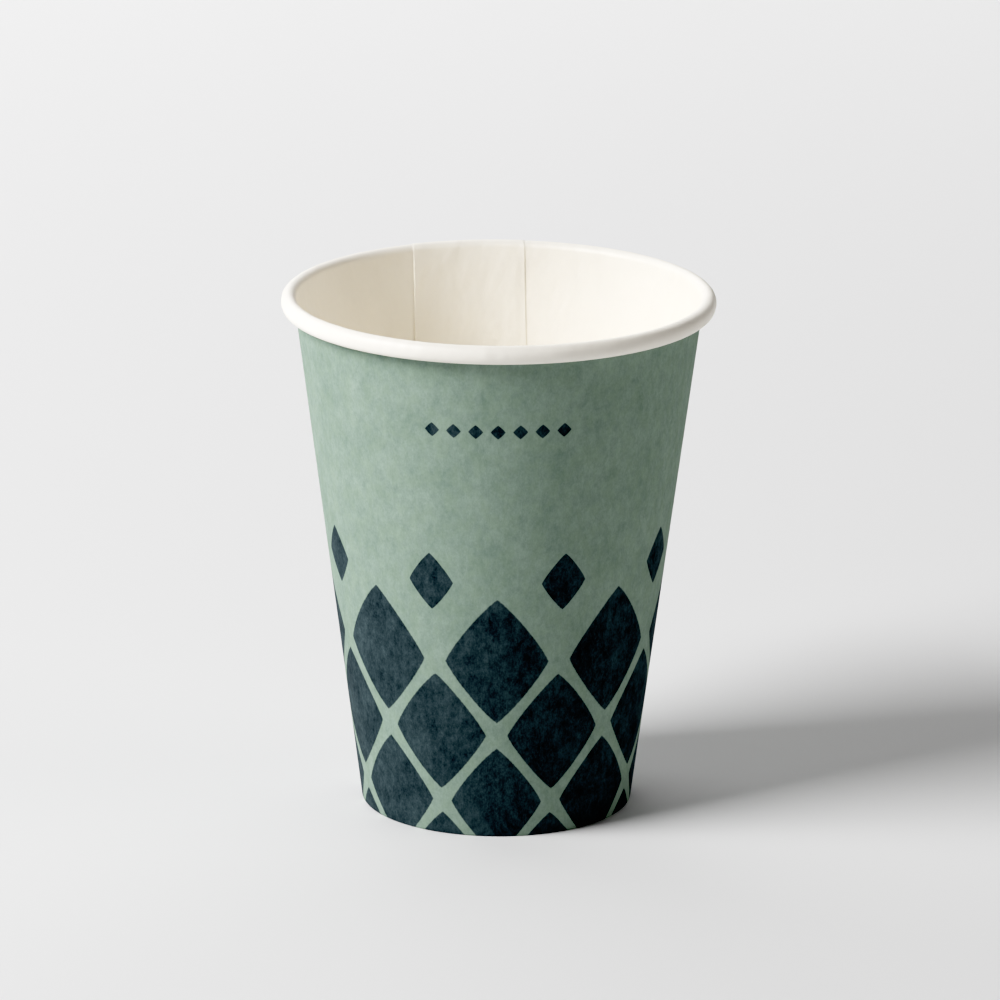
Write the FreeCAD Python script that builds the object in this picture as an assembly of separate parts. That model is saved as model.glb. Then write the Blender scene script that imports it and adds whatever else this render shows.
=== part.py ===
import FreeCAD, Part

import math
import os

# A single-wall paper cup for a hot drink, open at the top, in millimetres.
# The origin is the centre of the ring that the cup stands on, and +Z is up.
#
# sidewall     one fan-shaped blank of paperboard, rolled into a cone. Its ends lap in a wide glued
#              seam at the back, its top edge is rolled outwards into the rim bead, and its bottom
#              edge is folded in and up round the skirt of the bottom.
# bottom_disc  a round of paperboard whose edge is drawn down into a skirt. The skirt sits between
#              the wall and the folded hem, so the cup stands on the fold and its bottom is raised.
#
# The blank's printed face is outside. The bead is rolled outwards, so it shows the plain inner face.

# Overall sizes
rim_diameter = 90.0
cup_height = 109.1
base_diameter = 56.4

# Board
wall_board = 0.40
bottom_board = 0.35

# Rolled rim bead, measured over its outer face. Its section is an oval, taller than it is wide.
bead_height = 3.80
bead_end_radius = 1.50
bead_side_from = 30.0      # degrees above the bead's middle where the flatter side starts
bead_tuck_radius = 1.00
bead_tuck_length = 0.80
bead_tuck_gap = 0.05       # between the rolled-in edge and the wall

# Folded foot and hem
fold_radius = 0.45
hem_height = 6.5           # from the surface that the cup stands on to the hem's upper edge
seal_gap = 0.02            # film of sealant on each side of the skirt

# Bottom
recess_depth = 8.0         # from the surface that the cup stands on to the underside of the bottom
bottom_bend_radius = 0.90  # inner face of the bend between the disc and its skirt
skirt_foot_gap = 0.10      # between the skirt's edge and the inside of the fold

# Glued side seam. Its width is the same all the way up the cup. The blank's inner end is cut
# square, and beside the outer end's cut edge the board slopes inwards to pass under it.
seam_width = 23.6
seam_from_back = 9.4       # degrees from the back towards the left, seen from the front
seam_slope_width = 1.2
seam_edge_step = 0.20      # how far the outer end's cut edge stands out
bead_seam_step = 0.12      # the seam is pressed nearly flat where the rim is rolled
bead_press_length = 3.0    # height below the bead over which it is pressed flat
seam_floor_gap = 0.05      # between the inner end's lower edge and the bottom

OUT = "parts"


# A sheet's section is drawn as one face of the board, walked as straight runs and arcs that join
# in tangent, and the other face is parallel to it on the walker's left.

def heading_vector(angle):
    """The unit vector that points at this angle from +X towards +Z."""
    return FreeCAD.Vector(math.cos(angle), 0, math.sin(angle))


def left_of(angle):
    """The unit vector to the left of a heading."""
    return heading_vector(angle + math.pi / 2)


def run(length):
    """A straight move."""
    return {"length": length}


def bend(radius, turn):
    """An arc of the walked face, in degrees. Positive turns left, towards the other face."""
    return {"radius": radius, "turn": math.radians(turn)}


def walk(start, heading, moves):
    """The point and heading at which each move starts, and last the end's."""
    point, angle = start, heading
    stations = [(point, angle)]
    for move in moves:
        if "length" in move:
            point = point + heading_vector(angle) * move["length"]
        else:
            side = math.copysign(move["radius"], move["turn"])
            centre = point + left_of(angle) * side
            angle = angle + move["turn"]
            point = centre - left_of(angle) * side
        stations.append((point, angle))
    return stations


def face_edges(stations, moves, offset):
    """The edges of the face that lies this far to the left of the walked one."""
    edges = []
    for (p, a), (q, b), move in zip(stations, stations[1:], moves):
        first = p + left_of(a) * offset
        last = q + left_of(b) * offset
        if "length" in move:
            edges.append(Part.LineSegment(first, last).toShape())
        else:
            side = math.copysign(move["radius"], move["turn"])
            middle_angle = (a + b) / 2
            centre = p + left_of(a) * side
            middle = centre - left_of(middle_angle) * (side - offset)
            edges.append(Part.Arc(first, middle, last).toShape())
    return edges


def sheet_section(start, heading, moves, near, far):
    """The flat section of a board between two parallel faces, near and far to the walker's left."""
    stations = walk(start, heading, moves)
    near_face = face_edges(stations, moves, near)
    far_face = face_edges(stations, moves, far)
    ends = []
    for point, angle in (stations[0], stations[-1]):
        ends.append(Part.LineSegment(point + left_of(angle) * near, point + left_of(angle) * far).toShape())
    wire = Part.Wire(Part.__sortEdges__(near_face + far_face + ends))
    return Part.Face(wire)


def turned(section, from_angle, to_angle):
    """The section revolved about the cup's axis, between two angles in degrees from +X."""
    placed = section.copy()
    placed.rotate(FreeCAD.Vector(0, 0, 0), FreeCAD.Vector(0, 0, 1), from_angle)
    return placed.revolve(FreeCAD.Vector(0, 0, 0), FreeCAD.Vector(0, 0, 1), to_angle - from_angle)


# The bead's top arc and the foot fix the slant of the wall, which runs in tangent to both.
base_radius = base_diameter / 2
rim_radius = rim_diameter / 2
side_from = math.radians(bead_side_from)
side_extra = (bead_height / 2 - bead_end_radius) / math.sin(side_from)
bead_side_radius = bead_end_radius + side_extra
bead_middle_radius = rim_radius - bead_end_radius - side_extra * (1 - math.cos(side_from))
top_arc_centre = FreeCAD.Vector(bead_middle_radius, 0, cup_height - bead_end_radius)
foot_corner = FreeCAD.Vector(base_radius, 0, 0)
to_centre = top_arc_centre - foot_corner
slant = math.atan2(to_centre.x, to_centre.z) - math.asin((bead_end_radius - wall_board) / to_centre.Length)
slant_degrees = math.degrees(slant)
up_wall = math.pi / 2 - slant


def outer_radius(z):
    """The radius of the wall's outer face, or of its line carried on, at a height."""
    return base_radius + z * math.tan(slant)


def inward(depth, z):
    """The radius of a cone that lies this far inside the wall's outer face, at a height."""
    return outer_radius(z) - depth / math.cos(slant)


# Where the fold's two bends meet its flat: the length from each corner to its bend.
outer_bend_turn = 90 - slant_degrees
inner_bend_turn = 90 + slant_degrees
outer_bend_setback = fold_radius * math.tan(math.radians(outer_bend_turn) / 2)
inner_bend_setback = fold_radius * math.tan(math.radians(inner_bend_turn) / 2)
hem_depth = 2 * wall_board + bottom_board + 2 * seal_gap
hem_corner_radius = inward(hem_depth, 0)
fold_flat = base_radius - hem_corner_radius - outer_bend_setback - inner_bend_setback

bead_bottom = cup_height - bead_height
tuck_corner_radius = inward(-bead_tuck_gap, bead_bottom)
tuck_turn = 90 + slant_degrees
tuck_setback = bead_tuck_radius * math.tan(math.radians(tuck_turn) / 2)
tuck_run = bead_middle_radius - tuck_corner_radius - tuck_setback

hem_run = hem_height / math.cos(slant) - inner_bend_setback
wall_top = top_arc_centre.z + (bead_end_radius - wall_board) * math.sin(slant)
wall_run = wall_top / math.cos(slant) - outer_bend_setback


def bead_bends():
    """The bead's arcs from the wall over the top and down its outer side, on the printed face."""
    end = bead_end_radius - wall_board
    side = bead_side_radius - wall_board
    return [
        bend(end, -(180 - bead_side_from - slant_degrees)),
        bend(side, -2 * bead_side_from),
        bend(end, -(90 - bead_side_from)),
    ]


def sidewall_moves():
    """The whole of the blank's printed face, from the hem's upper edge to the rolled-in edge."""
    foot = [run(hem_run), bend(fold_radius, inner_bend_turn), run(fold_flat), bend(fold_radius, outer_bend_turn)]
    tuck = [run(tuck_run), bend(bead_tuck_radius - wall_board, -tuck_turn), run(bead_tuck_length)]
    return foot + [run(wall_run)] + bead_bends() + tuck


def sidewall_section():
    """The section of the rolled blank away from its seam."""
    hem_top = FreeCAD.Vector(inward(hem_depth, hem_height), 0, hem_height)
    return sheet_section(hem_top, up_wall - math.pi, sidewall_moves(), 0, wall_board)


# The seam. Its own frame has X outwards through its middle and Y round the wall, and the two edges
# of the lap lie in planes parallel to X, so that its width is even.
seam_middle = 90 + seam_from_back
seam_half = seam_width / 2
runs_past = 2              # how far a sloped cut runs on to pass right through, in widths of the slope
seam_levels = 4            # stretches of even twist that a cut up the seam is made of
overlap = wall_board / 2   # how deep the lap's inner board is sunk into the one that it is sealed to
bottom_top = recess_depth + bottom_board
seam_low = bottom_top + seam_floor_gap
press_low = wall_top - bead_press_length
past_rim = rim_radius + bead_height

# The angle, either side of the seam's middle, that takes in the lap and its slope at the foot.
seam_reach_along = seam_half + runs_past * seam_slope_width
seam_reach = math.degrees(math.asin(seam_reach_along / hem_corner_radius))


def in_seam_frame(shape):
    """Turns a shape made in the seam's own frame to where the seam is."""
    placed = shape.copy()
    placed.rotate(FreeCAD.Vector(0, 0, 0), FreeCAD.Vector(0, 0, 1), seam_middle)
    return placed


def seam_point(along, depth, z):
    """The point this far along from the seam's middle and this deep in the wall, at a height."""
    radius = inward(depth, z)
    return FreeCAD.Vector(math.sqrt(radius ** 2 - along ** 2), along, z)


def slope_line(edge_depth, away_depth, z):
    """Where the board's slope beside the outer end's edge starts, and the step to its other side."""
    start = seam_point(-seam_half, edge_depth, z)
    return start, seam_point(-seam_half - seam_slope_width, away_depth, z) - start


def seam_loft(outline_at, low, high):
    """A solid up the seam, on an outline that is drawn anew at each of a few heights."""
    loops = []
    for level in range(seam_levels + 1):
        outline = outline_at(low + (high - low) * level / seam_levels)
        loops.append(Part.makePolygon(outline + outline[:1]))
    return in_seam_frame(Part.makeLoft(loops, True, True))


def past_slope_at(z):
    """What lies beyond the slope that the inner face of the board makes beside the inner end."""
    start, step = slope_line(2 * wall_board, wall_board, z)
    deep = start - step * runs_past
    shallow = start + step * runs_past
    return [deep, shallow, FreeCAD.Vector(shallow.x, -past_rim, z), FreeCAD.Vector(0, -past_rim, z),
            FreeCAD.Vector(0, deep.y, z)]


def groove_at(z):
    """What is missing outside the outer end's cut edge, where the board slopes in to pass under it."""
    start, step = slope_line(seam_edge_step, 0, z)
    return [start, seam_point(-seam_half, -wall_board, z), start + step * runs_past]


def past_edge(side):
    """Everything beyond one edge of the lap: side is 1 for the cut edge and -1 for the sloped one."""
    corner = FreeCAD.Vector(0, min(side * seam_half, side * past_rim), 0)
    return in_seam_frame(Part.makeBox(past_rim, past_rim - seam_half, cup_height + bead_height, corner))


def over_seam(section):
    """A section revolved a little past both edges of the lap."""
    return turned(section, seam_middle - seam_reach, seam_middle + seam_reach)


def inner_end():
    """The blank's inner end: one board thick inside the wall, and pressed thin over the bead."""
    near = wall_board - overlap
    far = wall_board + bead_seam_step
    top = FreeCAD.Vector(outer_radius(wall_top), 0, wall_top)
    low_near = FreeCAD.Vector(inward(near, seam_low), 0, seam_low)
    low_far = FreeCAD.Vector(inward(2 * wall_board, seam_low), 0, seam_low)
    pressed = FreeCAD.Vector(inward(2 * wall_board, press_low), 0, press_low)
    top_near = top + left_of(up_wall) * near
    top_far = top + left_of(up_wall) * far
    outline = [low_near, low_far, pressed, top_far, top_near, low_near]
    on_wall = over_seam(Part.Face(Part.makePolygon(outline)))
    on_bead = over_seam(sheet_section(top, up_wall, bead_bends(), near, far))
    return [on_wall.cut([past_edge(1), seam_loft(past_slope_at, seam_low, cup_height)]),
            on_bead.cut([past_edge(1), past_edge(-1)])]


def hem_lap():
    """The lap carried on round the fold, as a second board on the hem's inner side."""
    foot = FreeCAD.Vector(inward(hem_depth, fold_radius), 0, fold_radius)
    length = (hem_height - fold_radius) / math.cos(slant)
    layer = over_seam(sheet_section(foot, up_wall, [run(length)], -overlap, wall_board))
    return layer.cut([past_edge(1), past_edge(-1)])


def sidewall():
    """The rolled blank as one solid, with its lapped ends sealed together."""
    wall = turned(sidewall_section(), 0, 360)
    lapped = wall.fuse(inner_end() + [hem_lap()])
    return lapped.cut(seam_loft(groove_at, 0, bead_bottom)).removeSplitter()


def bottom_disc():
    """The round bottom with its skirt, which hangs between the wall and the hem."""
    depth = wall_board + seal_gap
    skirt_foot = wall_board + skirt_foot_gap
    bend_outer = bottom_bend_radius + bottom_board
    corner_radius = inward(depth, bottom_top)
    setback = bend_outer * math.tan(math.radians(90 + slant_degrees) / 2)
    skirt_run = (bottom_top - skirt_foot) / math.cos(slant) - setback
    start = FreeCAD.Vector(inward(depth, skirt_foot), 0, skirt_foot)
    moves = [run(skirt_run), bend(bend_outer, 90 + slant_degrees), run(corner_radius - setback)]
    section = sheet_section(start, up_wall, moves, 0, bottom_board)
    return turned(section, 0, 360)


def main():
    os.makedirs(OUT, exist_ok=True)
    for name, make in (("sidewall", sidewall), ("bottom_disc", bottom_disc)):
        shape = make()
        shape.exportStep(os.path.join(OUT, name + ".step"))
        print(name, "valid", shape.isValid(), "solids", len(shape.Solids), "volume", round(shape.Volume, 2))


main()
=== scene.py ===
import math

import bmesh
import bpy
import numpy as np
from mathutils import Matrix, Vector


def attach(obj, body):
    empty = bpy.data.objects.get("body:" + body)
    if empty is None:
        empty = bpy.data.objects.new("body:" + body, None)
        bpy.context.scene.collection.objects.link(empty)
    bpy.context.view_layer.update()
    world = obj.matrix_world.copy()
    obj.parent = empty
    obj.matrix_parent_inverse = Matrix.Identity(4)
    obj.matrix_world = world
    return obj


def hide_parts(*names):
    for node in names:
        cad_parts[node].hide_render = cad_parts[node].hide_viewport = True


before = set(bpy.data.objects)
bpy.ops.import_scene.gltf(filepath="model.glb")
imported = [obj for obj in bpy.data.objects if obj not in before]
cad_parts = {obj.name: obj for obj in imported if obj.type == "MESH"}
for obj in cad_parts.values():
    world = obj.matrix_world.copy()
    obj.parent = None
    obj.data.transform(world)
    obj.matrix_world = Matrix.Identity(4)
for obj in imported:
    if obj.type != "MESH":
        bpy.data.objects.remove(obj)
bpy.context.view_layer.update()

# A single-wall paper coffee cup, stood on a pale floor in soft light from the left.
#
# rolled_wall   the printed blank, rolled into a cone. Its two ends lap in the side seam at the
#               back, its top edge is rolled out into the rim bead, and its bottom edge is folded
#               in and up as the hem. The outside is printed, and the inside is coated white.
# round_bottom  the bottom, with the skirt that the hem holds.

MM = 0.001

# Sizes of the cup, the same as in the solids
RIM_DIAMETER = 90.0 * MM
CUP_HEIGHT = 109.1 * MM
BASE_DIAMETER = 56.4 * MM
WALL_BOARD = 0.40 * MM
BOTTOM_BOARD = 0.35 * MM
BEAD_HEIGHT = 3.80 * MM
BEAD_END_RADIUS = 1.50 * MM
BEAD_SIDE_FROM = 30.0
BEAD_TUCK_RADIUS = 1.00 * MM
BEAD_TUCK_LENGTH = 0.80 * MM
BEAD_TUCK_GAP = 0.05 * MM
FOLD_RADIUS = 0.45 * MM
HEM_HEIGHT = 6.5 * MM
SEAL_GAP = 0.02 * MM
RECESS_DEPTH = 8.0 * MM
BOTTOM_BEND_RADIUS = 0.90 * MM
SKIRT_FOOT_GAP = 0.10 * MM
SEAM_WIDTH = 23.6 * MM
SEAM_FROM_BACK = 9.4
SEAM_SLOPE_WIDTH = 1.2 * MM
SEAM_EDGE_STEP = 0.20 * MM
BEAD_SEAM_STEP = 0.12 * MM
BEAD_PRESS_LENGTH = 3.0 * MM
SEAM_FLOOR_GAP = 0.05 * MM

# What only the render shows of the seam, where the board is squeezed thin beside its cut edges
EDGE_SQUEEZE_WIDTH = 2.0 * MM
CREASE_WIDTH = 0.40 * MM     # where the inner end rises over the outer one's cut edge
CREASE_SHARE = 0.5           # how much of the rise is in the crease
NOSE_WIDTH = 0.30 * MM       # the rounding of the inner end's cut edge
NOSE_DROP = 0.65             # how much of the rise is lost over it
BOARD_GAP = 0.01 * MM        # between the two lapped ends
BUTT_GAP = 0.02 * MM         # between the outer end and the single board that stops at it
CUT_LEAN = 0.15 * MM         # how much further the coated face reaches than the printed one
LAP_END_RAMP = 0.04 * MM     # the height over which the squeeze starts, where the lap begins

# How far the rolled board strays inwards from a true cone, and its bead from a true ring. Each wave
# has its number of turns round the cup, the radians by which it climbs a metre, and its start.
WALL_STRAY = 0.05 * MM
WALL_STRAY_FULL = 20 * MM    # the height from which the wall strays in full
WALL_WAVES = ((3, 40, 1.3), (5, -25, 0.0), (2, 0, 0.4))
BEAD_STRAY = 0.14 * MM
BEAD_WAVES = ((19, 0, 0.7), (43, 0, 2.1), (83, -600, 0.0))

# How finely the meshes are divided
SQUEEZE_COLUMNS = 5          # beside a cut edge
LAP_COLUMNS = 16             # through the rest of the lap
END_COLUMNS = 6              # over the far slope of the outer end, or the inner end's rounding
CREASE_COLUMNS = 9
FREE_COLUMNS = 290           # round the cup from one side of the lap to the other
BOTTOM_COLUMNS = 192
WELD_DISTANCE = 0.001 * MM

# The print. It is laid out in columns round the cup and rows up it, in units of one column, which
# widens with the cup, so every lozenge keeps its form.
PRINT_COLUMNS = 8
LOZENGE_PITCH = 1.3          # from one row to the next but one
LOZENGE_WIDTH = 0.41         # half a lozenge, across
LOZENGE_HEIGHT = 0.53        # half a lozenge, up
LOZENGE_ROUNDNESS = 1.14     # 1 is straight-sided and 2 an oval
FULL_ROWS_TOP = 2.17         # the tip of the highest full row
SMALL_LOZENGE = 0.42         # the last row's size beside the others
BELOW_PRINT = -9.0           # a row below every other
BAND_HEIGHT = 3.43           # middle of the row of small marks
BAND_PITCH = 0.145
BAND_MARKS = 7
BAND_MARK = 0.048            # half a mark
PRINT_BLEED = 3.0 * MM       # how far the print runs on round the fold


# The section of a board, walked as runs and arcs that join in tangent, as in the solids. The other
# face of the board is on the walker's left.

def heading(angle):
    """The unit vector (outwards, up) at an angle from outwards towards up."""
    return np.array([math.cos(angle), math.sin(angle)])


def left_of(angle):
    """The unit vector to the left of a heading."""
    return heading(angle + math.pi / 2)


def run(name, length, steps):
    """A straight move."""
    return {"name": name, "length": length, "turn": 0.0, "steps": steps}


def bend(name, radius, degrees, steps):
    """An arc of the walked face. Positive turns left."""
    turn = math.radians(degrees)
    return {"name": name, "length": abs(turn) * radius, "turn": turn, "steps": steps}


def walk(start, angle, moves):
    """The walked face as stations: each one's point, left-hand vector and distance walked, and the
    station at which each move ends."""
    points, lefts, walked, last = [start], [left_of(angle)], [0.0], {}
    for move in moves:
        first, from_angle, from_walked = points[-1], angle, walked[-1]
        for step in range(1, move["steps"] + 1):
            share = step / move["steps"]
            angle = from_angle + move["turn"] * share
            if move["turn"]:
                side = move["length"] / move["turn"]
                point = first + (left_of(from_angle) - left_of(angle)) * side
            else:
                point = first + heading(angle) * move["length"] * share
            points.append(point)
            lefts.append(left_of(angle))
            walked.append(from_walked + move["length"] * share)
        last[move["name"]] = len(points) - 1
    return np.array(points), np.array(lefts), np.array(walked), last


def ease(share):
    """A smooth step from 0 to 1."""
    share = np.clip(share, 0, 1)
    return share * share * (3 - 2 * share)


# The bead's top arc and the foot fix the slant of the wall, which runs in tangent to both.
base_radius = BASE_DIAMETER / 2
side_from = math.radians(BEAD_SIDE_FROM)
side_extra = (BEAD_HEIGHT / 2 - BEAD_END_RADIUS) / math.sin(side_from)
bead_side_radius = BEAD_END_RADIUS + side_extra
bead_middle_radius = RIM_DIAMETER / 2 - BEAD_END_RADIUS - side_extra * (1 - math.cos(side_from))
top_arc_centre = np.array([bead_middle_radius, CUP_HEIGHT - BEAD_END_RADIUS])
to_centre = top_arc_centre - np.array([base_radius, 0])
slant = math.atan2(*to_centre) - math.asin((BEAD_END_RADIUS - WALL_BOARD) / math.hypot(*to_centre))
slant_degrees = math.degrees(slant)
up_wall = math.pi / 2 - slant

# The turns, heights and widths that follow from it
outer_bend_turn = 90 - slant_degrees
inner_bend_turn = 90 + slant_degrees
outer_bend_setback = FOLD_RADIUS * math.tan(math.radians(outer_bend_turn) / 2)
inner_bend_setback = FOLD_RADIUS * math.tan(math.radians(inner_bend_turn) / 2)
hem_depth = 2 * WALL_BOARD + BOTTOM_BOARD + 2 * SEAL_GAP
wall_top = top_arc_centre[1] + (BEAD_END_RADIUS - WALL_BOARD) * math.sin(slant)
bottom_top = RECESS_DEPTH + BOTTOM_BOARD
seam_low = bottom_top + SEAM_FLOOR_GAP
press_low = wall_top - BEAD_PRESS_LENGTH
seam_half = SEAM_WIDTH / 2
seam_middle = math.radians(90 + SEAM_FROM_BACK)
foot_blank_radius = base_radius / math.sin(slant)
foot_column = 2 * math.pi * base_radius / PRINT_COLUMNS


def inward(depth, z):
    """The radius of a cone that lies this far inside the wall's outer face, at a height."""
    return base_radius + z * math.tan(slant) - depth / math.cos(slant)


def up_run(name, low, high, steps):
    """A straight move up the wall from one height to another."""
    return run(name, (high - low) / math.cos(slant), steps)


def wall_moves():
    """The blank's printed face from the hem's upper edge to the edge rolled into the bead."""
    fold_top = outer_bend_setback * math.cos(slant)
    hem_corner = inward(hem_depth, 0)
    tuck_turn = 90 + slant_degrees
    tuck_setback = BEAD_TUCK_RADIUS * math.tan(math.radians(tuck_turn) / 2)
    tuck_corner = inward(-BEAD_TUCK_GAP, CUP_HEIGHT - BEAD_HEIGHT)
    end = BEAD_END_RADIUS - WALL_BOARD
    side = bead_side_radius - WALL_BOARD
    return [
        run("hem", HEM_HEIGHT / math.cos(slant) - inner_bend_setback, 10),
        bend("inner_fold", FOLD_RADIUS, inner_bend_turn, 8),
        run("fold", base_radius - hem_corner - outer_bend_setback - inner_bend_setback, 1),
        bend("outer_fold", FOLD_RADIUS, outer_bend_turn, 8),
        up_run("skirt", fold_top, seam_low - LAP_END_RAMP, 6),
        up_run("lap_end", seam_low - LAP_END_RAMP, seam_low, 1),
        up_run("wall", seam_low, press_low, 30),
        up_run("press", press_low, wall_top, 6),
        bend("bead_top", end, -(180 - BEAD_SIDE_FROM - slant_degrees), 16),
        bend("bead_side", side, -2 * BEAD_SIDE_FROM, 10),
        bend("bead_foot", end, -(90 - BEAD_SIDE_FROM), 6),
        run("tuck_floor", bead_middle_radius - tuck_corner - tuck_setback, 1),
        bend("tuck", BEAD_TUCK_RADIUS - WALL_BOARD, -tuck_turn, 6),
        run("tuck_end", BEAD_TUCK_LENGTH, 1),
    ]


# The rolled wall is a grid. Its rows are the stations, and its columns run from the blank's outer
# end, through the lap, all the way round and through the lap again to its inner end. Beside the
# seam a column keeps its distance from the seam's middle, so both cut edges are straight.

def wall_columns():
    """Each column's distance along from the seam's middle, or its share of the way round, how far
    along the seam's sides end, and the column that stops short of the outer end's cut edge."""
    edge = seam_half + SEAM_SLOPE_WIDTH
    squeezed = -seam_half + EDGE_SQUEEZE_WIDTH * np.linspace(0, 1, SQUEEZE_COLUMNS)
    outer = np.concatenate([
        squeezed,
        np.linspace(-seam_half + EDGE_SQUEEZE_WIDTH, seam_half, LAP_COLUMNS)[1:],
        seam_half + SEAM_SLOPE_WIDTH * np.linspace(0, 1, END_COLUMNS)[1:],
    ])
    crease = -seam_half - CUT_LEAN
    up_crease = np.linspace(crease - CREASE_WIDTH, crease - BUTT_GAP, CREASE_COLUMNS)
    approach = np.concatenate([[-edge], up_crease])
    inner = np.concatenate([
        squeezed,
        np.linspace(-seam_half + EDGE_SQUEEZE_WIDTH, seam_half - NOSE_WIDTH, LAP_COLUMNS)[1:],
        seam_half - NOSE_WIDTH * np.linspace(1, 0, END_COLUMNS)[1:],
    ])
    free = np.linspace(0, 1, FREE_COLUMNS)[1:-1]
    butt = len(outer) + len(free) + len(approach) - 1
    return outer, free, np.concatenate([approach, inner]), edge, butt


def column_angles(radius, outer, free, inner, edge):
    """The angle from +X of every column at every station, worked out from the radius there."""
    on_outer, on_free, on_inner = np.split(radius, [len(outer), len(outer) + len(free)], axis=1)
    reach = np.arcsin(edge / on_free)
    once = 2 * math.pi
    return np.hstack([
        seam_middle - once + np.arcsin(outer / on_outer),
        seam_middle - once + reach + free * (once - 2 * reach),
        seam_middle + np.arcsin(inner / on_inner),
    ])


def on_nose(inner):
    """How far along the inner end's rounding a column is, from 0 to 1 at the cut edge."""
    return np.clip((inner - seam_half + NOSE_WIDTH) / NOSE_WIDTH, 0, 1)


def lap_offsets(last, outer, free, inner):
    """How far the board's printed and coated faces lie from the single board's printed face. On
    the hem the lap is one board of double thickness, and past the inner fold a single one."""
    rows = last["tuck_end"] + 1
    row = np.arange(rows)
    on_hem = 1 - ease((row - last["hem"] + 2) / (last["inner_fold"] - last["hem"] + 1))
    step = SEAM_EDGE_STEP * ease((row - last["fold"]) / (last["outer_fold"] - last["fold"]))
    lapped = (row >= last["lap_end"]) & (row <= last["bead_foot"])
    pressed = np.clip((row - last["wall"]) / (last["press"] - last["wall"]), 0, 1)
    second = np.where(lapped, WALL_BOARD + (BEAD_SEAM_STEP - WALL_BOARD) * pressed, 0)
    on_hem, step, lapped, pressed, second = (
        by_row[:, None] for by_row in (on_hem, step, lapped, pressed, second))

    beyond = ease((outer - seam_half) / SEAM_SLOPE_WIDTH)
    squeeze = 1 - ease((outer + seam_half) / EDGE_SQUEEZE_WIDTH)
    outer_printed = -WALL_BOARD * on_hem * (1 - beyond)
    outer_coated = WALL_BOARD - np.where(lapped, (WALL_BOARD - step) * squeeze, 0)

    free_printed = np.zeros((rows, len(free)))
    free_coated = free_printed + WALL_BOARD

    slope = ease((inner + seam_half + CUT_LEAN + CREASE_WIDTH) / CREASE_WIDTH)
    under = ease((inner + seam_half) / EDGE_SQUEEZE_WIDTH)
    nose = 1 - NOSE_DROP * on_nose(inner) ** 2
    creased = CREASE_SHARE + (1 - CREASE_SHARE) * pressed
    rise = second * (creased * slope + (1 - creased) * under)
    inner_printed = step * slope + (WALL_BOARD + BOARD_GAP - step) * under
    inner_coated = WALL_BOARD + rise * nose

    printed = np.hstack([outer_printed, free_printed, inner_printed])
    coated = np.hstack([outer_coated, free_coated, inner_coated])
    return printed, coated


def inwards(waves, angle, height):
    """The waves' mean, from 0 where they are highest to -1 where they are lowest."""
    total = sum(np.sin(turns * angle + climb * height + start) for turns, climb, start in waves)
    return (total / len(waves) - 1) / 2


def in_space(radius, height, angle):
    """Points in space, with the slight unevenness of rolled board."""
    on_wall = ease(height / WALL_STRAY_FULL)
    on_bead = ease((height - wall_top + BEAD_HEIGHT) / BEAD_HEIGHT)
    radius = radius + WALL_STRAY * inwards(WALL_WAVES, angle, height) * on_wall
    radius = radius + BEAD_STRAY * inwards(BEAD_WAVES, angle, height) * on_bead
    return np.stack([radius * np.cos(angle), radius * np.sin(angle), height], axis=-1)


def kept_cells(rows, columns, last, butt):
    """Which cells of the grid are board. Between the bottom's skirt and the wall, and past the
    bead, the lap is pressed into one board, so the inner end stops there."""
    kept = np.ones((rows - 1, columns - 1), bool)
    kept[:last["lap_end"], butt:] = False
    kept[last["bead_foot"]:, butt:] = False
    return kept


# The materials of a sheet, in the order in which its mesh has them
PRINTED, COATED, CUT = 0, 1, 2

# The sides of a grid's cell: where the cell beyond lies, in rows and columns, and the two corners
CELL_SIDES = (((-1, 0), 0, 1), ((0, 1), 1, 2), ((1, 0), 2, 3), ((0, -1), 3, 0))


def sheet_mesh(name, printed, coated, kept, maps):
    """A closed sheet between two grids of points."""
    rows, columns = kept.shape[0] + 1, kept.shape[1] + 1
    used = np.zeros((rows, columns), bool)
    for i, j in ((0, 0), (1, 0), (0, 1), (1, 1)):
        used[i:i + rows - 1, j:j + columns - 1] |= kept
    count = int(used.sum())
    front = np.full((rows, columns), -1)
    front[used] = np.arange(count)
    back = front + count

    faces, slots = [], []
    for i, j in zip(*np.nonzero(kept)):
        corners = ((i, j), (i, j + 1), (i + 1, j + 1), (i + 1, j))
        faces.append([front[corner] for corner in corners])
        faces.append([back[corner] for corner in reversed(corners)])
        slots += [PRINTED, COATED]
        for (by_row, by_column), start, end in CELL_SIDES:
            next_i, next_j = i + by_row, j + by_column
            in_grid = 0 <= next_i < rows - 1 and 0 <= next_j < columns - 1
            if in_grid and kept[next_i, next_j]:
                continue
            a, b = corners[start], corners[end]
            faces.append([front[b], front[a], back[a], back[b]])
            slots.append(CUT)

    mesh = bpy.data.meshes.new(name)
    vertices = np.concatenate([printed[used], coated[used]])
    mesh.from_pydata(vertices.tolist(), [], faces)
    mesh.polygons.foreach_set("material_index", slots)
    corner_vertex = np.zeros(len(mesh.loops), int)
    mesh.loops.foreach_get("vertex_index", corner_vertex)
    for map_name, places in maps.items():
        layer = mesh.uv_layers.new(name=map_name)
        both = np.concatenate([places[used], places[used]])
        layer.data.foreach_set("uv", both[corner_vertex].ravel())
    finish_mesh(mesh)
    return mesh


def finish_mesh(mesh):
    """Turns the faces outwards, and shades them smooth but for the edges between materials."""
    work = bmesh.new()
    work.from_mesh(mesh)
    bmesh.ops.recalc_face_normals(work, faces=work.faces)
    for edge in work.edges:
        slots = {face.material_index for face in edge.link_faces}
        edge.smooth = len(slots) == 1
    for face in work.faces:
        face.smooth = True
    work.to_mesh(mesh)
    work.free()


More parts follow.
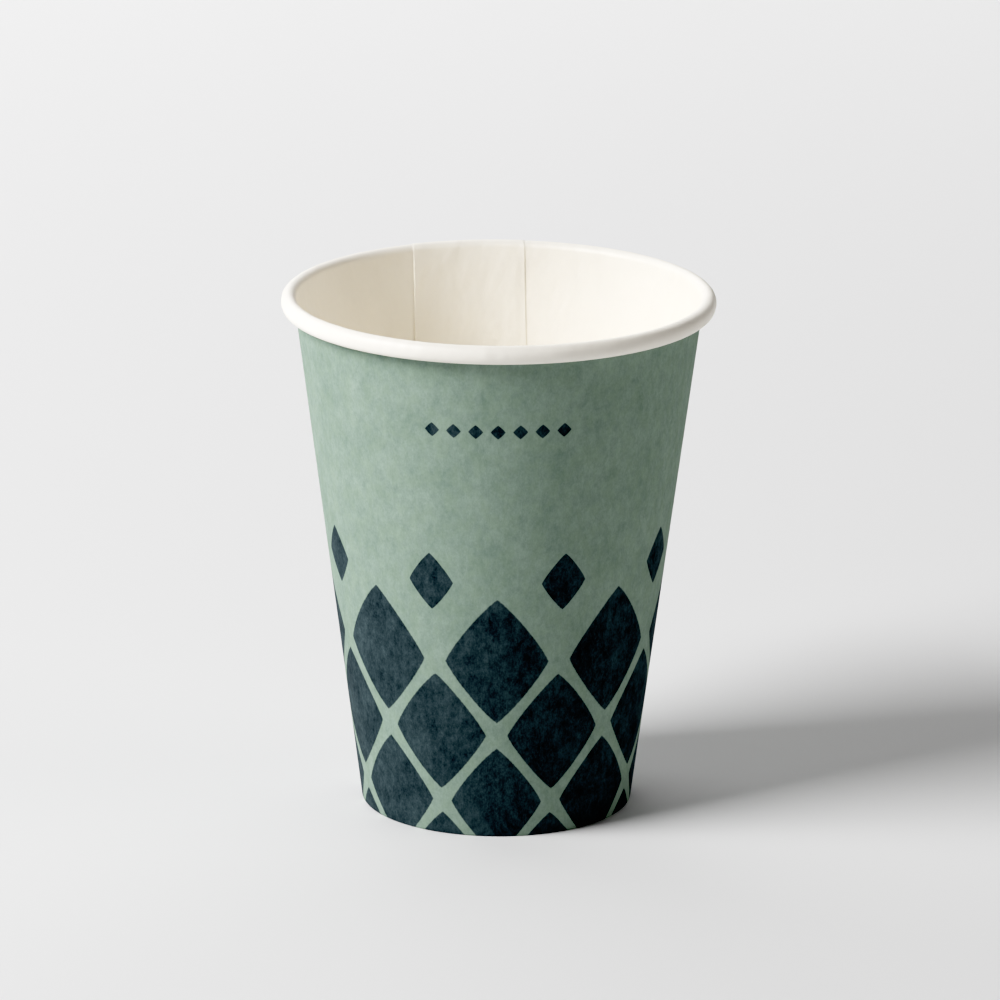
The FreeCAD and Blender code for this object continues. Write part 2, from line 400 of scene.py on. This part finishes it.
def flat_maps(walked, angle):
    """Where each point lies on the flat blank, and in the columns and rows of the print. The blank
    is a fan, measured in metres from the foot's front. The print's rows widen with its columns."""
    blank_radius = foot_blank_radius + walked[:, None] + 0 * angle
    turned = angle + math.pi / 2
    fan = turned * math.sin(slant)
    blank_x = blank_radius * np.sin(fan)
    blank_y = blank_radius * np.cos(fan) - foot_blank_radius
    column = turned * PRINT_COLUMNS / (2 * math.pi)
    rows_in_turn = np.log(blank_radius / foot_blank_radius) / math.sin(slant)
    row = rows_in_turn * PRINT_COLUMNS / (2 * math.pi)
    return {
        "blank": np.stack([blank_x, blank_y], axis=-1),
        "layout": np.stack([column, row], axis=-1),
    }


def rolled_wall():
    """The printed blank, rolled, lapped, rimmed and hemmed."""
    hem_top = np.array([inward(hem_depth, HEM_HEIGHT), HEM_HEIGHT])
    points, lefts, walked, last = walk(hem_top, up_wall - math.pi, wall_moves())
    outer, free, inner, edge, butt = wall_columns()
    leaning_outer = outer - CUT_LEAN * (outer == outer[0])
    leaning_inner = inner - CUT_LEAN * on_nose(inner)
    printed_offset, coated_offset = lap_offsets(last, outer, free, inner)

    def face(offset, outer_end, inner_end):
        radius = points[:, :1] + lefts[:, :1] * offset
        height = points[:, 1:] + lefts[:, 1:] * offset
        angle = column_angles(radius, outer_end, free, inner_end, edge)
        return in_space(radius, height, angle), angle

    printed, angle = face(printed_offset, outer, leaning_inner)
    coated, _ = face(coated_offset, leaning_outer, inner)
    kept = kept_cells(len(points), angle.shape[1], last, butt)
    foot_walked = walked[last["outer_fold"]] - outer_bend_setback
    mesh = sheet_mesh("rolled_wall", printed, coated, kept, flat_maps(walked - foot_walked, angle))

    wall = bpy.data.objects.new("rolled_wall", mesh)
    bpy.context.scene.collection.objects.link(wall)
    for material in (printed_board(), coated_board(), cut_board()):
        mesh.materials.append(material)
    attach(wall, "root")
    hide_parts("sidewall")


def round_bottom():
    """The bottom, turned about the cup's axis from the section of its board."""
    depth = WALL_BOARD + SEAL_GAP
    skirt_foot = WALL_BOARD + SKIRT_FOOT_GAP
    bend_outer = BOTTOM_BEND_RADIUS + BOTTOM_BOARD
    setback = bend_outer * math.tan(math.radians(90 + slant_degrees) / 2)
    start = np.array([inward(depth, skirt_foot), skirt_foot])
    moves = [
        run("skirt", (bottom_top - skirt_foot) / math.cos(slant) - setback, 4),
        bend("shoulder", bend_outer, 90 + slant_degrees, 12),
        run("disc", inward(depth, bottom_top) - setback, 24),
    ]
    points, lefts, _, _ = walk(start, up_wall, moves)
    outline = np.concatenate([points[::-1], points + lefts * BOTTOM_BOARD])
    work = bmesh.new()
    ring = [work.verts.new((max(r, 0), 0, z)) for r, z in outline]
    edges = [work.edges.new(pair) for pair in zip(ring, ring[1:])]
    bmesh.ops.spin(work, geom=ring + edges, cent=(0, 0, 0), axis=(0, 0, 1), angle=2 * math.pi,
                   steps=BOTTOM_COLUMNS, use_merge=True)
    bmesh.ops.remove_doubles(work, verts=work.verts, dist=WELD_DISTANCE)
    mesh = bpy.data.meshes.new("round_bottom")
    work.to_mesh(mesh)
    work.free()
    finish_mesh(mesh)
    mesh.materials.append(bottom_board())

    bottom = bpy.data.objects.new("round_bottom", mesh)
    bpy.context.scene.collection.objects.link(bottom)
    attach(bottom, "root")
    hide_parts("bottom_disc")


# Materials

PER_MM = 1 / MM

# Each ink is mottled from where the board took up most of it to where it took up least
GREEN_DEEP = (0.163, 0.228, 0.190, 1.0)
GREEN_PALE = (0.374, 0.456, 0.396, 1.0)
GREEN_SALLOW = (0.267, 0.346, 0.246, 1.0)
NAVY_DEEP = (0.008, 0.014, 0.020, 1.0)
NAVY_PALE = (0.102, 0.138, 0.148, 1.0)
COATED_WHITE = (0.976, 0.933, 0.850)
BARE_BOARD = (0.800, 0.765, 0.690)

# Noises: how many grains there are to a millimetre across the sheet and along it, and the detail
# and roughness of the noise
INK_CLOUDS = (0.130, 0.090, 5.0, 0.86)
INK_GRAIN = (0.58, 0.30, 3.0, 1.0)
INK_TINT = (0.30, 0.22, 2.0, 0.7)
INK_OUTLINE = (1.6, 1.6, 3.0, 0.5)
BARE_FIBRES = (5.0, 1.6, 3.0, 0.6)
INK_TOOTH = (7.0, 3.5, 4.0, 0.6)
COAT_FIBRES = (1.1, 0.6, 4.0, 0.6)
COAT_CLOUDS = (0.10, 0.06, 2.0, 0.5)
COAT_WOBBLE = (0.32, 0.20, 1.0, 0.5)
CUT_FIBRES = (9.0, 9.0, 4.0, 0.65)

# What a noise does to a value: the value is the noise times the first, plus the second
OUTLINE_STRAY = (0.03, -0.015)
NAVY_MOTTLE = (1.4, -0.20)
BARE_SHADE = (0.16, 0.92)
INK_ROUGHNESS = (0.10, 0.70)
COAT_SHADE = (0.08, 0.94)
COAT_ROUGHNESS = (0.12, 0.42)
CUT_SHADE = (0.24, 0.90)

GRAIN_IN_MOTTLE = 0.80       # beside the clouds, which count in full
MOTTLE_DROP = 0.40           # what brings the mottle's mean back to the middle
SALLOW_SHARE = (0.40, 0.65, 0.0, 0.22)   # the tint's range, and the share of sallow at each end
OUTLINE_FADE = 0.015         # half the width over which a lozenge's ink ends, in its own size
MARK_FADE = 0.06
BLEED_FADE = 0.004           # the same at the print's end on the hem, in rows
MOTTLE_IN_RELIEF = 0.7
TOOTH_IN_RELIEF = 0.3
INK_RELIEF = 0.06 * MM
INK_SPECULAR = 0.1
FIBRES_IN_COAT_SHADE = 0.04
WOBBLE_IN_COAT_RELIEF = 0.20
FIBRES_IN_COAT_RELIEF = 0.03
COAT_RELIEF = 1.0 * MM
CUT_ROUGHNESS = 0.92
CUT_RELIEF = 0.05 * MM


class Nodes:
    """A material's node tree, with one short call for each kind of node."""

    def __init__(self, name):
        self.material = bpy.data.materials.new(name)
        self.material.use_nodes = True
        self.tree = self.material.node_tree
        self.shader = self.tree.nodes["Principled BSDF"]

    def add(self, kind, inputs=(), **settings):
        """A node with its settings, and each input set to a value or linked to a socket."""
        node = self.tree.nodes.new("ShaderNode" + kind)
        for key, value in settings.items():
            setattr(node, key, value)
        for key, value in dict(inputs).items():
            self.put(node.inputs[key], value)
        return node

    def put(self, socket, value):
        """Sets an input to a value or links it to a socket."""
        if isinstance(value, bpy.types.NodeSocket):
            self.tree.links.new(value, socket)
        else:
            socket.default_value = value

    def math(self, operation, a, b=0.0, c=0.0, clamp=False):
        """One sum of up to three values or sockets."""
        node = self.add("Math", {0: a, 1: b, 2: c}, operation=operation, use_clamp=clamp)
        return node.outputs[0]

    def uv(self, name):
        """The coordinates of a UV map."""
        return self.add("UVMap", uv_map=name).outputs[0]

    def noise(self, source, kind):
        """Smooth noise of one of the kinds above, near 0.5 on average."""
        across, along, detail, roughness = kind
        scale = (across * PER_MM, along * PER_MM, along * PER_MM)
        place = self.add("Mapping", {"Vector": source, "Scale": scale}).outputs[0]
        inputs = {"Vector": place, "Scale": 1.0, "Detail": detail, "Roughness": roughness}
        return self.add("TexNoise", inputs, noise_dimensions="3D").outputs["Fac"]

    def between(self, value, low, high, to_low=0.0, to_high=1.0):
        """The value eased from one range to another and held at its ends."""
        inputs = {"Value": value, "From Min": low, "From Max": high,
                  "To Min": to_low, "To Max": to_high}
        node = self.add("MapRange", inputs, interpolation_type="SMOOTHSTEP", clamp=True)
        return node.outputs[0]

    def mix(self, share, a, b):
        """One colour mixed into another."""
        node = self.add("Mix", data_type="RGBA")
        for key, value in (("Factor_Float", share), ("A_Color", a), ("B_Color", b)):
            socket = next(s for s in node.inputs if s.identifier == key)
            self.put(socket, value)
        return next(s for s in node.outputs if s.identifier == "Result_Color")

    def scaled(self, colour, factor):
        """A colour made lighter or darker by a factor."""
        return self.add("VectorMath", {0: colour, "Scale": factor}, operation="SCALE").outputs[0]

    def bump(self, height, distance):
        """A normal for a height from 0 to 1, over a distance in metres."""
        return self.add("Bump", {"Height": height, "Distance": distance}).outputs[0]

    def fill(self, **inputs):
        """Sets the shader's own inputs."""
        for key, value in inputs.items():
            self.put(self.shader.inputs[key.replace("_", " ")], value)


def lozenge(nodes, across, up, half_width, half_height):
    """Distance out from a lozenge's middle, which is 1 on its outline."""
    def rounded(along, half):
        share = nodes.math("DIVIDE", nodes.math("ABSOLUTE", along), half)
        return nodes.math("POWER", share, LOZENGE_ROUNDNESS)

    return nodes.math("ADD", rounded(across, half_width), rounded(up, half_height))


def filled(nodes, out, fade):
    """1 inside an outline and 0 outside it, for a distance out from its middle."""
    return nodes.between(out, 1 - fade, 1 + fade, 1.0, 0.0)


def from_middle(nodes, value, period, middle):
    """The distance from the nearest of the evenly spaced middles."""
    turns = nodes.math("DIVIDE", nodes.math("SUBTRACT", value, middle), period)
    nearest = nodes.math("ROUND", turns)
    return nodes.math("MULTIPLY", nodes.math("SUBTRACT", turns, nearest), period)


def printed_areas(nodes, blank, column, row):
    """1 where the dark ink is and 0 where it isn't."""
    stray = nodes.math("MULTIPLY_ADD", nodes.noise(blank, INK_OUTLINE), *OUTLINE_STRAY)
    top_row = FULL_ROWS_TOP - LOZENGE_HEIGHT
    small_row = top_row + LOZENGE_PITCH / 2

    def lattice(column_middle, row_middle, size, low, high):
        x = from_middle(nodes, column, 1.0, column_middle)
        y = from_middle(nodes, row, LOZENGE_PITCH, row_middle)
        out = lozenge(nodes, x, y, LOZENGE_WIDTH * size, LOZENGE_HEIGHT * size)
        inside = filled(nodes, nodes.math("ADD", out, stray), OUTLINE_FADE)
        above = nodes.math("GREATER_THAN", row, low)
        below = nodes.math("LESS_THAN", row, high)
        return nodes.math("MULTIPLY", inside, nodes.math("MULTIPLY", above, below))

    even = lattice(0.0, top_row, 1.0, BELOW_PRINT, FULL_ROWS_TOP)
    odd = lattice(0.5, top_row - LOZENGE_PITCH / 2, 1.0, BELOW_PRINT, top_row)
    small = lattice(0.5, small_row, SMALL_LOZENGE, top_row, small_row + LOZENGE_PITCH / 2)

    x = from_middle(nodes, column, BAND_PITCH, 0.0)
    y = nodes.math("SUBTRACT", row, BAND_HEIGHT)
    marks = filled(nodes, lozenge(nodes, x, y, BAND_MARK, BAND_MARK), MARK_FADE)
    off_middle = nodes.math("ABSOLUTE", column)
    in_band = nodes.math("LESS_THAN", off_middle, BAND_MARKS * BAND_PITCH / 2)
    band = nodes.math("MULTIPLY", marks, in_band)
    full = nodes.math("MAXIMUM", even, odd)
    return nodes.math("MAXIMUM", full, nodes.math("MAXIMUM", small, band))


def printed_board():
    """Matte ink on board, mottled along the board's grain, with bare board on the hem."""
    nodes = Nodes("printed_board")
    blank = nodes.uv("blank")
    layout = nodes.add("SeparateXYZ", {0: nodes.uv("layout")})
    column, row = layout.outputs[0], layout.outputs[1]

    clouds = nodes.math("SUBTRACT", nodes.noise(blank, INK_CLOUDS), MOTTLE_DROP)
    mottle = nodes.math("MULTIPLY_ADD", nodes.noise(blank, INK_GRAIN), GRAIN_IN_MOTTLE, clouds)
    sallow = nodes.between(nodes.noise(blank, INK_TINT), *SALLOW_SHARE)
    green = nodes.mix(sallow, nodes.mix(mottle, GREEN_DEEP, GREEN_PALE), GREEN_SALLOW)
    navy_mottle = nodes.math("MULTIPLY_ADD", mottle, *NAVY_MOTTLE, clamp=True)
    navy = nodes.mix(navy_mottle, NAVY_DEEP, NAVY_PALE)
    ink = nodes.mix(printed_areas(nodes, blank, column, row), green, navy)

    shade = nodes.math("MULTIPLY_ADD", nodes.noise(blank, BARE_FIBRES), *BARE_SHADE)
    bare = nodes.scaled(BARE_BOARD, shade)
    bleed_row = -PRINT_BLEED / foot_column
    printed = nodes.between(row, bleed_row - BLEED_FADE, bleed_row + BLEED_FADE)

    tooth = nodes.noise(blank, INK_TOOTH)
    low_relief = nodes.math("MULTIPLY", tooth, TOOTH_IN_RELIEF)
    height = nodes.math("MULTIPLY_ADD", mottle, MOTTLE_IN_RELIEF, low_relief)
    nodes.fill(Base_Color=nodes.mix(printed, bare, ink),
               Roughness=nodes.math("MULTIPLY_ADD", tooth, *INK_ROUGHNESS),
               Normal=nodes.bump(height, INK_RELIEF),
               Specular_IOR_Level=INK_SPECULAR)
    return nodes.material


def white_board(nodes, source):
    """White board under a thin clear coating: faint fibres, and a surface never quite even."""
    fibres = nodes.noise(source, COAT_FIBRES)
    cloudy = nodes.math("MULTIPLY_ADD", nodes.noise(source, COAT_CLOUDS), *COAT_SHADE)
    light = nodes.math("MULTIPLY_ADD", fibres, FIBRES_IN_COAT_SHADE, cloudy)
    low_relief = nodes.math("MULTIPLY", fibres, FIBRES_IN_COAT_RELIEF)
    wobble = nodes.noise(source, COAT_WOBBLE)
    height = nodes.math("MULTIPLY_ADD", wobble, WOBBLE_IN_COAT_RELIEF, low_relief)
    nodes.fill(Base_Color=nodes.scaled(COATED_WHITE, light),
               Roughness=nodes.math("MULTIPLY_ADD", fibres, *COAT_ROUGHNESS),
               Normal=nodes.bump(height, COAT_RELIEF))


def coated_board():
    """The wall's inside and the outside of the bead, with the grain of the blank."""
    nodes = Nodes("coated_board")
    white_board(nodes, nodes.uv("blank"))
    return nodes.material


def cut_board():
    """The raw fibres of a cut edge."""
    nodes = Nodes("cut_board")
    fibres = nodes.noise(nodes.uv("blank"), CUT_FIBRES)
    shade = nodes.math("MULTIPLY_ADD", fibres, *CUT_SHADE)
    nodes.fill(Base_Color=nodes.scaled(BARE_BOARD, shade),
               Roughness=CUT_ROUGHNESS, Normal=nodes.bump(fibres, CUT_RELIEF))
    return nodes.material


def bottom_board():
    """The bottom, with its grain straight across the cup."""
    nodes = Nodes("bottom_board")
    white_board(nodes, nodes.add("TexCoord").outputs["Object"])
    return nodes.material


# Stage, light and camera

FLOOR_SIZE = 12.0
FLOOR_WHITE = (0.80, 0.80, 0.805, 1.0)
FLOOR_ROUGHNESS = 0.9
FLOOR_SPECULAR = 0.2

CAMERA_DISTANCE = 1.425
CAMERA_ELEVATION = 16.73
CAMERA_LENS = 246.0
CAMERA_ROLL = 0.305
CAMERA_SEES_FROM = 0.05
CAMERA_SEES_TO = 50.0
AIM = Vector((0.45 * MM, 0, 64.3 * MM))

WHITE_LIGHT = (1.0, 0.998, 0.995)
WARM_LIGHT = (1.0, 0.965, 0.925)
LIGHT_BOUNCES = 8            # enough for the light that goes to and fro inside the cup

# The photograph's tone, from no light to the most that the curve holds
TONE_CONTRAST = 1.45
TONE_CEILING = 1.35
TONE_BLACK = 0.028
TONE_TOE = 0.003
TONE_LIGHTEST = 3.0
TONE_STEPS = 32
ALL_COLOURS = 3              # the curve that acts on red, green and blue alike

cup_middle = Vector((0, 0, CUP_HEIGHT / 2))


def stage_floor():
    """A pale floor that fills the view."""
    mesh = bpy.data.meshes.new("floor")
    half = FLOOR_SIZE / 2
    corners = [(-half, -half, 0), (half, -half, 0), (half, half, 0), (-half, half, 0)]
    mesh.from_pydata(corners, [], [(0, 1, 2, 3)])
    floor = bpy.data.objects.new("floor", mesh)
    bpy.context.scene.collection.objects.link(floor)
    nodes = Nodes("floor")
    nodes.fill(Base_Color=FLOOR_WHITE, Roughness=FLOOR_ROUGHNESS, Specular_IOR_Level=FLOOR_SPECULAR)
    mesh.materials.append(nodes.material)


def round_cup(azimuth, elevation, distance):
    """A point seen from the cup's middle. Azimuth turns from the front to the right."""
    turn, rise = math.radians(azimuth), math.radians(elevation)
    right, back = math.sin(turn) * math.cos(rise), -math.cos(turn) * math.cos(rise)
    return cup_middle + Vector((right, back, math.sin(rise))) * distance


def soft_light(name, place, target, width, height, power, colour):
    """A rectangular soft light at one point, turned to face another."""
    data = bpy.data.lights.new(name, "AREA")
    data.shape = "RECTANGLE"
    data.size, data.size_y = width, height
    data.energy = power
    data.color = colour
    lamp = bpy.data.objects.new(name, data)
    lamp.location = place
    lamp.rotation_euler = (target - place).to_track_quat("-Z", "Y").to_euler()
    bpy.context.scene.collection.objects.link(lamp)


def lights():
    """The photograph's light: a large soft one on the left, a weak one on the right to fill the
    shadows, and two over the floor behind the cup."""
    floor_left, floor_middle = Vector((-0.3, 0.75, 0)), Vector((0.15, 0.75, 0))
    over_left, over_middle = Vector((-0.7, 1.15, 0.75)), Vector((0.3, 1.2, 0.75))
    soft_light("key", round_cup(-66, 38, 1.6), cup_middle, 0.8, 0.8, 52.0, WHITE_LIGHT)
    soft_light("fill", round_cup(80, 15, 2.5), cup_middle, 1.6, 1.6, 21.5, WARM_LIGHT)
    soft_light("floor_left", over_left, floor_left, 1.4, 0.8, 13.0, WHITE_LIGHT)
    soft_light("floor_middle", over_middle, floor_middle, 1.6, 0.8, 10.6, WHITE_LIGHT)
    bpy.context.scene.cycles.diffuse_bounces = LIGHT_BOUNCES


def tone(light):
    """The brightness that the photograph shows for an amount of light: deep in the shadows, and
    held back in the lights."""
    raised = light ** TONE_CONTRAST
    above = TONE_CEILING * raised / (1 + raised) - TONE_BLACK
    return (above + math.hypot(above, 2 * TONE_TOE)) / 2


def exposure():
    """The photograph's tone, on an otherwise plain rendering of the light."""
    view = bpy.context.scene.view_settings
    view.view_transform = "Standard"
    view.look = "None"
    view.use_curve_mapping = True
    mapping = view.curve_mapping
    mapping.clip_max_x = mapping.clip_max_y = TONE_LIGHTEST
    points = mapping.curves[ALL_COLOURS].points
    points[0].location = (0, tone(0))
    points[1].location = (TONE_LIGHTEST, tone(TONE_LIGHTEST))
    for step in range(1, TONE_STEPS):
        light = TONE_LIGHTEST * (step / TONE_STEPS) ** 2
        points.new(light, tone(light))
    mapping.update()


def camera():
    """The photograph's long lens, a little above the cup."""
    data = bpy.data.cameras.new("camera")
    data.lens = CAMERA_LENS
    data.clip_start, data.clip_end = CAMERA_SEES_FROM, CAMERA_SEES_TO
    shot = bpy.data.objects.new("camera", data)
    shot.location = round_cup(0, CAMERA_ELEVATION, CAMERA_DISTANCE)
    look = (AIM - shot.location).to_track_quat("-Z", "Y")
    shot.rotation_euler = look.to_euler()
    shot.rotation_euler.rotate_axis("Z", math.radians(CAMERA_ROLL))
    bpy.context.scene.collection.objects.link(shot)
    bpy.context.scene.camera = shot


camera()
lights()
exposure()
stage_floor()
rolled_wall()
round_bottom()
